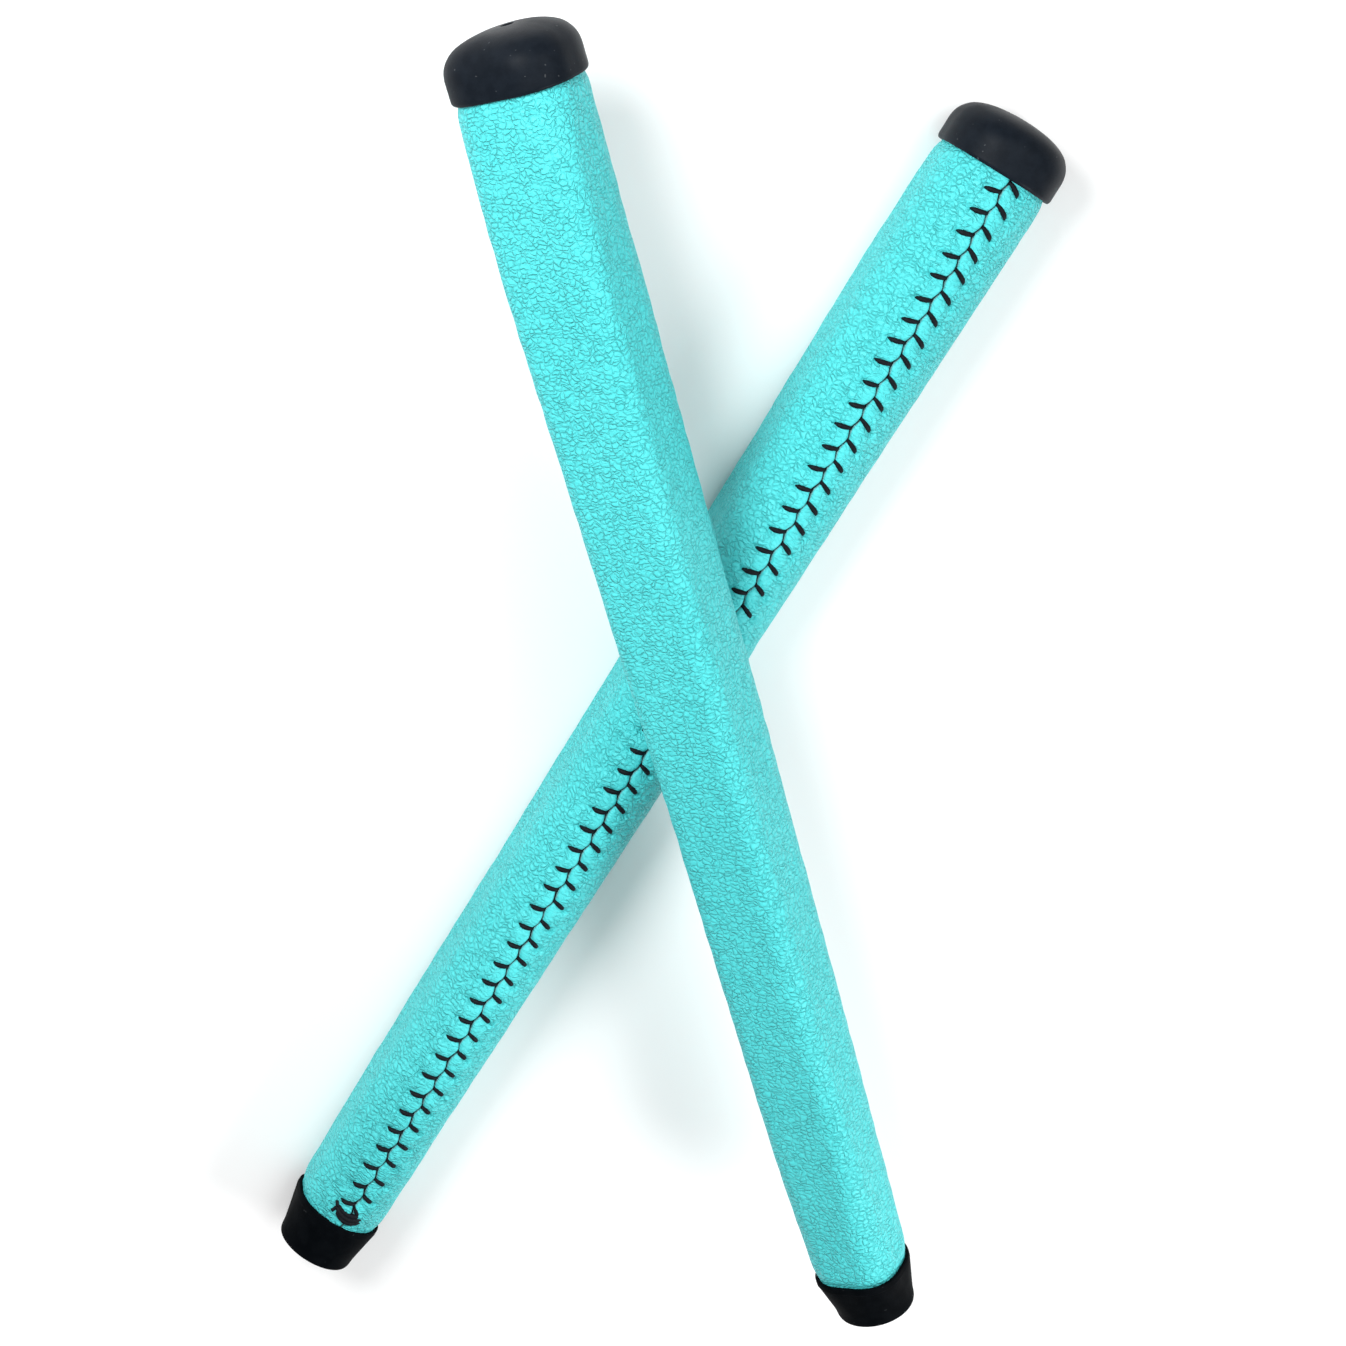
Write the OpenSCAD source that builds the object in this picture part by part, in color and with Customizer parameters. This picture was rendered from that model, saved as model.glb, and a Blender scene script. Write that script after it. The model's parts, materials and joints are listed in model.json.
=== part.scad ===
// A pair of hand-laced leather grip sticks, one lying across the other.
// Each stick is a rubber sleeve with a round bore, wrapped in soft leather
// that is laced up the back, with a rubber cap at the butt and a rubber
// collar at the tip. Units are millimetres, +Z is up off the table.

/* [Whole stick] */

// Length of one stick from the tip end face to the top of the cap
stick_len = 267; // [200:1:350]
// Radius of the round bore that the sleeve is pushed on with
bore_r = 7.0; // [5:0.05:8]
// Distance from the bore axis to the flat front of the leather
front_d = 9.4; // [9:0.1:12]
// Distance from the bore axis to the plane that the cap and collar rest on
rest_d = 9.75; // [9.5:0.05:12.5]

/* [Leather cover] */

// Half width of the leather next to the cap
butt_half_w = 11.3; // [10:0.1:15]
// Half width of the leather next to the collar
tip_half_w = 9.0; // [8.8:0.1:12]
// Length over which the width falls from the butt to the tip
flare_len = 240; // [100:1:245]
// Front to back depth of the leather next to the cap
butt_depth = 21.8; // [20:0.1:30]
// How much of that depth is lost on the way to the tip
depth_drop = 3.2; // [0:0.1:6]
// Radius of the two soft edges beside the flat front, over the middle
edge_mid = 3.6; // [2:0.1:6]
// Radius of the same edges next to the cap
edge_butt = 7.6; // [4:0.1:9]
// Radius of the same edges next to the collar
edge_tip = 6.6; // [4:0.1:8]
// Distance from the cap over which the edges soften
soft_butt = 40; // [10:1:80]
// Distance from the collar over which the edges soften
soft_tip = 46; // [10:1:80]
// Thickness of the leather
leather_t = 0.9; // [0.6:0.05:1.6]
// How far the leather is drawn in where it passes under the rubber rims
tuck_in = 0.6; // [0.2:0.05:1]
// Length of leather hidden under the cap
tuck_butt = 3.5; // [1:0.1:5]
// Length of leather hidden under the collar
tuck_tip = 1.1; // [0.6:0.1:1.6]

/* [Butt cap] */

// Height of the cap from its rim to the top of its dome
cap_h = 10.7; // [8:0.1:16]
// How far the cap stands out past the leather at the sides and back
cap_proud = 0.7; // [0.2:0.05:2]
// Depth of the recess that takes the ends of the sleeve and the leather
cap_recess = 4.5; // [3:0.1:7]
// Radius of the small air hole through the top of the cap
vent_r = 1.2; // [0.5:0.1:2.5]

/* [Tip collar] */

// Height of the collar from its end face to its rim
collar_h = 10.6; // [8:0.1:16]
// How far the rim stands out past the leather at the sides
collar_proud = 0.25; // [0.1:0.05:1]
// Radius of the collar at its end face, before the rounding
collar_end_r = 8.0; // [7.6:0.05:10]
// Depth of the recess that takes the ends of the sleeve and the leather
collar_recess = 1.7; // [1:0.1:3]
// Chamfer round the mouth of the bore, at the tip
mouth_ease = 0.35; // [0.2:0.05:0.5]
// Chamfer round the bore where the sleeve ends, inside the cap
end_ease = 0.3; // [0.1:0.05:0.5]

/* [Lacing] */

// Distance between two stitches of one row
stitch_pitch = 4.65; // [3:0.05:8]
// Number of stitches in each of the two rows
stitch_count = 52; // [20:1:80]
// Radius of the waxed thread
thread_r = 0.45; // [0.3:0.05:0.7]
// Distance from the seam to a stitch hole next to the cap
reach_butt = 3.7; // [2:0.1:5]
// Distance from the seam to a stitch hole next to the collar
reach_tip = 3.0; // [2:0.1:5]
// How far a hole lies towards the tip of where its stitch leaves the seam, by the cap
slant_butt = 1.4; // [0:0.1:2]
// The same distance next to the collar
slant_tip = 0.5; // [0:0.1:2]
// Depth of the hidden runs under the leather
run_depth = 0.62; // [0.4:0.01:0.8]
// Half width of the tie-off loop across the seam
knot_half_w = 3.5; // [2:0.1:5]
// How far the tie-off loop sags towards the tip
knot_sag = 1.7; // [0.5:0.1:3]
// Distance from the collar rim to the ends of the tie-off loop
knot_gap = 4.4; // [3:0.1:8]

/* [Placing] */

// Heading of the lower stick, measured from +Y towards -X
lower_heading = -31.54; // [-60:0.01:0]
// Heading of the upper stick, measured from +Y towards -X
upper_heading = 16.06; // [0:0.01:60]
// Roll of the upper stick away from flat front up
upper_roll = 37; // [0:1:90]
// Place of the lower stick's middle on the table, X
lower_x = -0.55; // [-30:0.01:30]
// Place of the lower stick's middle on the table, Y
lower_y = -5.97; // [-30:0.01:30]
// Place of the upper stick's middle over the table, X
upper_x = 6.02; // [-30:0.01:30]
// Place of the upper stick's middle over the table, Y
upper_y = 0.34; // [-30:0.01:30]
// Gap left between the two sticks where they cross
cross_gap = 0.3; // [0.3:0.05:1]

/* [Hidden] */

$fn = 48;

// Steps round the back of a section, and round each of its two soft edges
back_steps = 20;
edge_steps = 5;
ring_n = back_steps + 2 * edge_steps + 3;
// Where the two rims meet the leather, counted from the tip
rim_butt = stick_len - cap_h;
rim_tip = collar_h;
leather_vis = rim_butt - rim_tip;
// Clearance between nested pieces
skin = 0.03;
rubber = [0.13, 0.15, 0.18];
turquoise = [0.31, 0.86, 0.84];
sleeve_grey = [0.3, 0.3, 0.3];
thread_black = [0.06, 0.06, 0.07];

// ---------------------------------------------------------------- sections
// Distance from the cap's rim as a fraction of the leather that shows
function along(s) = (rim_butt - s) / leather_vis;
function unit(x) = max(0, min(1, x));
function half_w(s) =
    tip_half_w + (butt_half_w - tip_half_w) * pow(unit(1 - (rim_butt - s) / flare_len), 2);
function depth(s) = butt_depth - depth_drop * pow(unit(along(s)), 3);
function back_d(s) = depth(s) - front_d;
function edge_r(s) = edge_mid
    + (edge_butt - edge_mid) * pow(unit(1 - (rim_butt - s) / soft_butt), 2)
    + (edge_tip - edge_mid) * pow(unit(1 - (s - rim_tip) / soft_tip), 2);

// One closed ring: half width w, back reach b, front reach f, soft edge r
function ring(w, b, f, r) = concat(
    [for (i = [0:back_steps])
        let (t = i * 180 / back_steps)
        [w * cos(t), b - w + w * sin(t)]],
    [for (i = [0:edge_steps])
        let (t = 180 + i * 90 / edge_steps)
        [r - w + r * cos(t), r - f + r * sin(t)]],
    [for (i = [0:edge_steps])
        let (t = 270 + i * 90 / edge_steps)
        [w - r + r * cos(t), r - f + r * sin(t)]]);

// The leather's section at s, grown by g at the sides and back and by gf in front
function section(s, g, gf) =
    ring(half_w(s) + g, back_d(s) + g, front_d + gf, edge_r(s) + (g + gf) / 2);

// A ring drawn in to k of its size about its own middle height
function shrunk(pts, k, mid) = [for (p = pts) [p[0] * k, mid + (p[1] - mid) * k]];

// Rings become 3D points at their place along the stick, which is centred on 0
function lift(pts, s) = [for (p = pts) [p[0], s - stick_len / 2, p[1]]];

function flat_list(rows) = [for (r = rows) for (p = r) p];

// Side walls between ring i and ring i + 1 of a stack that starts at point o
function walls(n, o, flip) = [
    for (i = [0:n - 2]) for (j = [0:ring_n - 1])
        let (a = o + i * ring_n + j)
        let (b = o + i * ring_n + (j + 1) % ring_n)
        let (c = b + ring_n)
        let (d = a + ring_n)
        for (k = [0, 1])
            flip ? (k == 0 ? [a, d, c] : [a, c, b]) : (k == 0 ? [a, b, c] : [a, c, d])];

// A closed solid through a stack of rings that runs towards the butt
module loft(rows) {
    n = len(rows);
    bottom = [for (j = [0:ring_n - 1]) ring_n - 1 - j];
    top = [for (j = [0:ring_n - 1]) (n - 1) * ring_n + j];
    polyhedron(points = flat_list(rows), faces = concat([bottom], [top], walls(n, 0, false)));
}

// A closed tube between an outer and an inner stack of the same number of rings
module tube(outer, inner) {
    n = len(outer);
    m = n * ring_n;
    e = (n - 1) * ring_n;
    low = [for (j = [0:ring_n - 1]) let (q = (j + 1) % ring_n) for (k = [0, 1])
        k == 0 ? [j, m + q, q] : [j, m + j, m + q]];
    high = [for (j = [0:ring_n - 1]) let (q = (j + 1) % ring_n) for (k = [0, 1])
        k == 0 ? [e + j, e + q, m + e + q] : [e + j, m + e + q, m + e + j]];
    polyhedron(points = concat(flat_list(outer), flat_list(inner)),
               faces = concat(low, high, walls(n, 0, false), walls(n, m, true)));
}

// -------------------------------------------------------------- the leather
// Places of the leather's rings along the stick, and how far each is drawn in
leather_places = concat(
    [rim_tip - tuck_tip, rim_tip + 0.2, rim_tip + 1.1, rim_tip + 2.6],
    [for (i = [1:11]) rim_tip + i * leather_vis / 12],
    [rim_butt - 3.1, rim_butt - 1.1, rim_butt - 0.1, rim_butt + tuck_butt]);
leather_in = concat([1, 0.92, 0.4, 0], [for (i = [1:11]) 0], [0, 0.5, 0.95, 1]);

module leather_cover() {
    last = len(leather_places) - 1;
    tube([for (i = [0:last]) let (g = -tuck_in * leather_in[i])
             lift(section(leather_places[i], g, g), leather_places[i])],
         [for (i = [0:last]) let (g = -tuck_in * leather_in[i] - leather_t)
             lift(section(leather_places[i], g, g), leather_places[i])]);
}

// ---------------------------------------------------------------- the sleeve
// The sleeve follows the inside of the leather and ends inside the two recesses
module core_sleeve() {
    places = concat([rim_tip - collar_recess + skin, rim_tip + 0.2, rim_tip + 1.1, rim_tip + 2.6],
        [for (i = [1:11]) rim_tip + i * leather_vis / 12],
        [rim_butt - 3.1, rim_butt - 1.1, rim_butt - 0.1, rim_butt + cap_recess - skin]);
    last = len(places) - 1;
    difference() {
        loft([for (i = [0:last])
            let (g = -tuck_in * leather_in[i] - leather_t - skin)
            lift(section(places[i], g, g), places[i])]);
        bore(-stick_len / 2 - 1, stick_len + 2);
        ease(rim_butt + cap_recess - skin, 1, end_ease);
    }
}

// A round hole along the stick from y0, of the given length
module bore(y0, length) {
    translate([0, y0, 0]) rotate([-90, 0, 0]) cylinder(h = length, r = bore_r);
}

// A 45 degree chamfer of size c at the bore's end at s, towards 1 the butt or -1 the tip
module ease(s, towards, c) {
    translate([0, s - stick_len / 2, 0])
        rotate([-90 * towards, 0, 0])
            translate([0, 0, -c - 0.5])
                cylinder(h = c + 0.7, r1 = bore_r - 0.5, r2 = bore_r + c + 0.2);
}

// ------------------------------------------------------------------- the cap
cap_front = rest_d - front_d;
cap_mid = (back_d(rim_butt) + cap_proud - rest_d) / 2;
// Height over the rim, and the size of the section there
cap_steps = [[0, 0.965], [0.35, 0.99], [0.8, 1], [4.6, 1], [6.2, 0.972], [7.6, 0.905],
             [8.8, 0.8], [9.7, 0.64], [10.3, 0.44], [10.62, 0.2]];

module butt_cap() {
    difference() {
        loft([for (c = cap_steps)
            let (s = rim_butt + c[0] * cap_h / 10.62)
            lift(shrunk(section(rim_butt, cap_proud, cap_front), c[1], cap_mid), s)]);
        loft([for (s = [rim_butt - 1, rim_butt + cap_recess])
            lift(section(rim_butt, skin - tuck_in, skin - tuck_in), s)]);
        translate([0, stick_len / 2 - cap_h, cap_mid])
            rotate([-90, 0, 0]) cylinder(h = cap_h + 1, r = vent_r);
    }
}

// ---------------------------------------------------------------- the collar
// Place along the stick, and how far the shape has gone from section to circle
collar_steps = [[0, 0.95, 0.97], [0.35, 0.985, 0.965], [0.9, 1, 0.95], [2.6, 1, 0.84],
                [8.7, 1, 0.1], [9.15, 1, 0.05], [9.4, 1, 0], [10.3, 1, 0], [10.6, 0.985, 0]];

// The collar's ring at t of the way from the rim's section to the end circle
function collar_ring(t) = ring(
    (1 - t) * (tip_half_w + collar_proud) + t * collar_end_r,
    (1 - t) * (back_d(rim_tip) + collar_proud) + t * collar_end_r,
    (1 - t) * rest_d + t * collar_end_r,
    (1 - t) * (edge_r(rim_tip) + collar_proud) + t * collar_end_r);

module tip_collar() {
    difference() {
        loft([for (c = collar_steps)
            lift(shrunk(collar_ring(c[2]), c[1], 0), c[0] * collar_h / 10.6)]);
        loft([for (s = [rim_tip - collar_recess, rim_tip + 1])
            lift(section(rim_tip, skin - tuck_in, skin - tuck_in), s)]);
        bore(-stick_len / 2 - 1, collar_h + 1);
        ease(0, -1, mouth_ease);
    }
}

// ---------------------------------------------------------------- the lacing
// Height of the leather's back over the bore axis, u off the seam at s
function crown(u, s) = back_d(s) - half_w(s) + sqrt(pow(half_w(s), 2) - u * u);

// The thread zigzags: odd steps are the left row, even steps the right row
function side(i) = i % 2 == 0 ? 1 : -1;
function seam_s(i) = rim_butt - (0.07 + i / 2) * stitch_pitch;
function reach(s) = reach_butt + (reach_tip - reach_butt) * unit(along(s));
function slant(s) = slant_butt + (slant_tip - slant_butt) * unit(along(s));
function seam_pt(i, lift_by) =
    let (s = seam_s(i))
    [side(i) * 0.15, s - stick_len / 2, crown(0, s) + lift_by];
function hole_pt(i, lift_by) =
    let (s = seam_s(i) - slant(seam_s(i)))
    let (u = reach(s))
    [side(i) * u, s - stick_len / 2, crown(u, s) + lift_by];

// A straight run of thread between two points, a little longer at both ends
module strand(p, q, extra) {
    d = q - p;
    n = norm(d);
    translate(p - d * extra / n)
        rotate([0, acos(d[2] / n), atan2(d[1], d[0])])
            cylinder(h = n + 2 * extra, r = thread_r, $fn = 16);
}

module lacing() {
    steps = 2 * stitch_count - 1;
    for (i = [0:steps]) {
        strand(seam_pt(i, 0.06), hole_pt(i, 0.06), 0.2);
    }
    for (i = [0:steps - 1]) {
        strand(hole_pt(i, -run_depth), seam_pt(i + 1, -run_depth), 0.25);
    }
}

// The tie-off: three turns of thread laid across the seam, sagging to the tip
module tie_off() {
    turns = 3;
    for (k = [0:turns - 1]) {
        s = rim_tip + knot_gap - k * thread_r * 1.5;
        sag = knot_sag - k * 0.1;
        half = knot_half_w - k * 0.35;
        pts = [for (t = [-1:0.5:1])
            let (u = t * half)
            let (y = s - sag * (1 - t * t))
            [u, y - stick_len / 2, crown(u, y) + 0.25 - 0.5 * t * t]];
        for (j = [0:3]) {
            strand(pts[j], pts[j + 1], 0.15);
        }
    }
}

// ------------------------------------------------------------------- placing
// Where the two axes cross in plan, as distances from the middles towards the butts
cross_det = -sin(lower_heading) * cos(upper_heading) + sin(upper_heading) * cos(lower_heading);
off_x = upper_x - lower_x;
off_y = upper_y - lower_y;
cross_low = (off_x * cos(upper_heading) + off_y * sin(upper_heading)) / cross_det;
cross_up = (off_x * cos(lower_heading) + off_y * sin(lower_heading)) / cross_det;
// The upper stick lies on the lower one's lacing there
low_s = stick_len / 2 + cross_low;
up_s = stick_len / 2 + cross_up;
lower_top = rest_d + back_d(low_s) + 0.06 + thread_r;
upper_below = half_w(up_s) + (back_d(up_s) - half_w(up_s)) * cos(upper_roll);
upper_z = lower_top + cross_gap + upper_below;

module on_table() {
    translate([lower_x, lower_y, rest_d]) rotate([0, 0, lower_heading]) children();
}

module on_top() {
    translate([upper_x, upper_y, upper_z])
        rotate([0, 0, upper_heading])
            rotate([0, 180 - upper_roll, 0])
                children();
}

module lower_core() { color(sleeve_grey) on_table() core_sleeve(); }
module lower_cap() { color(rubber) on_table() butt_cap(); }
module lower_collar() { color(rubber) on_table() tip_collar(); }
module lower_leather() { color(turquoise) on_table() leather_cover(); }
module lower_lacing() { color(thread_black) on_table() lacing(); }
module lower_tie_off() { color(thread_black) on_table() tie_off(); }
module upper_core() { color(sleeve_grey) on_top() core_sleeve(); }
module upper_cap() { color(rubber) on_top() butt_cap(); }
module upper_collar() { color(rubber) on_top() tip_collar(); }
module upper_leather() { color(turquoise) on_top() leather_cover(); }
module upper_lacing() { color(thread_black) on_top() lacing(); }
module upper_tie_off() { color(thread_black) on_top() tie_off(); }

lower_core();
lower_cap();
lower_collar();
lower_leather();
lower_lacing();
lower_tie_off();
upper_core();
upper_cap();
upper_collar();
upper_leather();
upper_lacing();
upper_tie_off();
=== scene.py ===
import json
import math

import bpy
import numpy as np
from mathutils import Matrix, Vector


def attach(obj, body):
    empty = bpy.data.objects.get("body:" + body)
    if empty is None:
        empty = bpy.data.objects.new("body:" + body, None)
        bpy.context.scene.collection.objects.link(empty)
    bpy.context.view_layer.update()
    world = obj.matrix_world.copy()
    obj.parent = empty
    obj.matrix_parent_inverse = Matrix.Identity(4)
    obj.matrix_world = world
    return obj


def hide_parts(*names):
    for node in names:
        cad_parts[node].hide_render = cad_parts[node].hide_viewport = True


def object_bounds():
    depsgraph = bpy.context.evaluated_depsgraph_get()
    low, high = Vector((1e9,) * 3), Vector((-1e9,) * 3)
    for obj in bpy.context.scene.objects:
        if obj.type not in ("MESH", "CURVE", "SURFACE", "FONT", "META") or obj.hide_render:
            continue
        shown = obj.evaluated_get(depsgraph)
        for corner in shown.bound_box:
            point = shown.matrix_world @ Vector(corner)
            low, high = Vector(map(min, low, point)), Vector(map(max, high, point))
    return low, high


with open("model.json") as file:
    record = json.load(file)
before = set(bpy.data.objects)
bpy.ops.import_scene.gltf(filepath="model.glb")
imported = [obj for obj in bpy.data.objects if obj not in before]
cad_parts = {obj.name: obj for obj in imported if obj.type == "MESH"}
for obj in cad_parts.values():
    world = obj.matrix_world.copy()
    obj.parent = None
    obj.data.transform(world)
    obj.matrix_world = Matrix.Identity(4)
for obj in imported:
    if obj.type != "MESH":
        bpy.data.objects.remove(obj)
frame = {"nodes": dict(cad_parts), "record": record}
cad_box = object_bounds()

MM = 0.001

# ------------------------------------------------------------------ sizes, mm
# The same figures as the CAD source. One stick lies along its own +Y: s runs from
# the tip's end face (0) to the top of the cap, u is lateral, v is towards the seam.
STICK_LEN, BORE_R, FRONT_D, REST_D = 267.0, 7.0, 9.4, 9.75
BUTT_W, TIP_W, FLARE = 11.3, 9.0, 240.0
BUTT_DEPTH, DEPTH_DROP = 21.8, 3.2
EDGE_MID, EDGE_BUTT, EDGE_TIP, SOFT_BUTT, SOFT_TIP = 3.6, 7.6, 6.6, 40.0, 46.0
LEATHER_T, TUCK_IN, TUCK_BUTT, TUCK_TIP = 0.9, 0.6, 3.5, 1.1
CAP_H, CAP_PROUD, CAP_RECESS, VENT_R = 10.7, 0.7, 4.5, 1.2
COLLAR_H, COLLAR_PROUD, COLLAR_END_R, COLLAR_RECESS = 10.6, 0.25, 8.0, 1.7
PITCH, STITCHES, THREAD_R = 4.65, 52, 0.45
MOUTH_EASE = 0.35
SKIN = 0.03
RIM_BUTT, RIM_TIP = STICK_LEN - CAP_H, COLLAR_H
LEATHER_VIS = RIM_BUTT - RIM_TIP
ROLL = {"lower": 0.0, "upper": 143.0}
STITCH_SEEDS = {"lower": 11, "upper": 23}
LEATHER_SEEDS = {"lower": 100, "upper": 200}


def unit(x):
    return np.clip(x, 0.0, 1.0)


def smooth(x):
    x = unit(x)
    return x * x * (3 - 2 * x)


def along(s):
    return unit((RIM_BUTT - s) / LEATHER_VIS)


def half_w(s):
    return TIP_W + (BUTT_W - TIP_W) * unit(1 - (RIM_BUTT - s) / FLARE) ** 2


def back_d(s):
    return BUTT_DEPTH - DEPTH_DROP * along(s) ** 3 - FRONT_D


def edge_r(s):
    return (EDGE_MID + (EDGE_BUTT - EDGE_MID) * unit(1 - (RIM_BUTT - s) / SOFT_BUTT) ** 2
            + (EDGE_TIP - EDGE_MID) * unit(1 - (s - RIM_TIP) / SOFT_TIP) ** 2)


def outline(w, b, f, r, a):
    """Point and outward normal at arc length a from the seam, round the +u side.
    w half width, b back reach, f front reach, r soft edge radius."""
    arc, side, corner, flat = w * math.pi / 2, b - w - r + f, r * math.pi / 2, 2 * (w - r)
    total = 2 * (arc + side + corner) + flat
    a = np.mod(a, total)
    flip = a > total / 2
    d = np.where(flip, total - a, a)
    t1 = d / w
    t3 = (d - arc - side) / r
    u = np.select([d <= arc, d <= arc + side, d <= arc + side + corner],
                  [w * np.sin(t1), w + 0 * d, w - r + r * np.cos(t3)],
                  w - r - (d - arc - side - corner))
    v = np.select([d <= arc, d <= arc + side, d <= arc + side + corner],
                  [b - w + w * np.cos(t1), b - w - (d - arc), r - f - r * np.sin(t3)], -f + 0 * d)
    nu = np.select([d <= arc, d <= arc + side, d <= arc + side + corner],
                   [np.sin(t1), 1 + 0 * d, np.cos(t3)], 0 * d)
    nv = np.select([d <= arc, d <= arc + side, d <= arc + side + corner],
                   [np.cos(t1), 0 * d, -np.sin(t3)], -1 + 0 * d)
    sign = np.where(flip, -1.0, 1.0)
    return u * sign, v, nu * sign, nv


def around(w, b, f, r):
    """Arc length once round the outline."""
    return 2 * (w * math.pi / 2 + b - w - r + f + r * math.pi / 2) + 2 * (w - r)


def leather_section(s, a):
    """Point and normal of the leather's nominal outer surface."""
    return outline(half_w(s), back_d(s), FRONT_D + 0 * s, edge_r(s), a)


def perimeter(s):
    return around(half_w(s), back_d(s), FRONT_D, edge_r(s))


# --------------------------------------------------------------- stick places
def stick_matrix(name):
    """From a stick's own millimetres to the row frame, by its bore mount."""
    mount = next(m for m in frame["record"]["mounts"] if m["name"] == name + "_bore")
    axis = Vector(mount["axis"]).normalized()
    mouth = Vector(mount["pos_m"]) + axis * MOUTH_EASE * MM
    y = -axis
    x = y.cross(Vector((0, 0, 1))).normalized()
    turn = Matrix.Rotation(math.radians(ROLL[name]), 3, y)
    x, z = turn @ x, turn @ x.cross(y)
    m = Matrix((x, y, z)).transposed().to_4x4()
    return Matrix.Translation(mouth) @ m @ Matrix.Scale(MM, 4)


STICKS = {name: stick_matrix(name) for name in ("lower", "upper")}


def make(name, stick, verts, faces, material, replaced, flat_angle=None):
    """One piece from points (u, s, v) in millimetres of that stick."""
    m = np.array(STICKS[stick])
    p = np.asarray(verts, float) @ m[:3, :3].T + m[:3, 3]
    me = bpy.data.meshes.new(name)
    me.from_pydata(p.tolist(), [], faces)
    me.update()
    me.polygons.foreach_set("use_smooth", [True] * len(me.polygons))
    if flat_angle:
        me.set_sharp_from_angle(angle=math.radians(flat_angle))
    me.materials.append(material)
    ob = bpy.data.objects.new(name, me)
    bpy.context.scene.collection.objects.link(ob)
    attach(ob, stick + "_stick")
    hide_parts(*replaced)
    return ob


def grid_faces(rows, cols, closed=False):
    """Faces between rows of points; closed joins the last column to the first."""
    out = []
    for i in range(rows - 1):
        for j in range(cols - (0 if closed else 1)):
            k = (j + 1) % cols
            out.append((i * cols + j, i * cols + k, (i + 1) * cols + k, (i + 1) * cols + j))
    return out


# -------------------------------------------------------------- the stitching
# Where the first stitch leaves the seam, in pitches below the cap's rim
FIRST_STITCH = 0.07
# On each side: a stitch's reach and slant beside the cap, and what they lose by the collar
STITCH_SIZES = {1: (3.8, 0.75, 1.75, 1.0), -1: (3.55, 0.15, 0.95, 0.4)}
# How much a hand varies them: place, reach, slant
HAND_PLACE, HAND_REACH, HAND_SLANT = 0.12, 0.22, 0.18
SEAM_SWING = 0.26


def stitch_plan(stick):
    """Every stitch: its side, and where it leaves the seam and enters its hole."""
    rng = np.random.RandomState(STITCH_SEEDS[stick])
    out = []
    for i in range(2 * STITCHES):
        side = 1 if i % 2 == 0 else -1
        s = RIM_BUTT - (FIRST_STITCH + i / 2) * PITCH
        t = float(along(s))
        reach, reach_loss, slant, slant_loss = STITCH_SIZES[side]
        reach, slant = reach - reach_loss * t, slant - slant_loss * t
        s += rng.uniform(-HAND_PLACE, HAND_PLACE)
        reach += rng.uniform(-HAND_REACH, HAND_REACH)
        slant += rng.uniform(-HAND_SLANT, HAND_SLANT)
        out.append({"side": side, "s": s, "reach": reach, "slant": slant,
                    "pull": rng.uniform(0.75, 1.2)})
    return out


def seam_shift(s):
    """The seam runs in a slight zigzag, drawn over at every stitch."""
    first = RIM_BUTT - FIRST_STITCH * PITCH
    return SEAM_SWING * np.cos(2 * math.pi * (s - first) / PITCH)


def waves(x, y, seed, size, count=14):
    """Smooth seeded unevenness, about -1 to 1, with features of about size mm."""
    rng = np.random.RandomState(seed)
    out = np.zeros(np.broadcast(x, y).shape)
    for _ in range(count):
        k = 2 * math.pi / (size * rng.uniform(0.7, 1.8))
        t = rng.uniform(0, math.pi)
        out = out + np.sin(k * (math.cos(t) * x + math.sin(t) * y) + rng.uniform(0, 2 * math.pi))
    return out / math.sqrt(count / 2.0) / 1.6


# Relief of the leather, mm: slow unevenness, the swelling beside the seam, the valley
# that each stitch pulls, its hole, and the puckers past the hole as (slope, depth)
WAVE_H, BROAD_WAVE, SHORT_WAVE = 0.05, 16.0, 5.0
PILLOW_H, PILLOW_END, PILLOW_FADE = 0.36, 2.2, 3.6
VALLEY_H, VALLEY_PULL = 0.46, 0.16
VALLEY_BUTT_SIDE, VALLEY_TIP_SIDE = 0.62, 0.85
HOLE_H, HOLE_R = 0.38, 0.5
PUCKERS = ((-0.55, 0.07), (-0.1, 0.13), (0.4, 0.09))
PUCKER_W, PUCKER_RUN = 0.42, 3.4
STITCH_SPAN = 6.5


def stitch_dent(stitch, d, s):
    """How far one stitch draws the leather down, d from the seam, on its own side."""
    t = d / stitch["reach"]
    off = s - (stitch["s"] - stitch["slant"] * t)
    # the valley under the thread is steeper on its butt side
    width = np.where(off > 0, VALLEY_BUTT_SIDE, VALLEY_TIP_SIDE) * (1 + 0.25 * unit(t))
    valley = np.exp(-np.abs(off / width) ** 1.7)
    valley = valley * (1 - smooth((d - stitch["reach"] + 0.4) / 1.7))
    dent = (VALLEY_H + VALLEY_PULL * stitch["pull"]) * valley
    # the hole, and the puckers that run on from it
    run, past = d - stitch["reach"], s - (stitch["s"] - stitch["slant"])
    dent = dent + HOLE_H * np.exp(-(np.hypot(run, past) / HOLE_R) ** 2)
    ends = smooth((run + 0.4) / 0.8) * (1 - smooth((run - 0.6) / PUCKER_RUN))
    for fan, depth in PUCKERS:
        fold = np.exp(-((past + fan * run) / PUCKER_W) ** 2)
        dent = dent + depth * stitch["pull"] * fold * ends
    return dent


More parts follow.
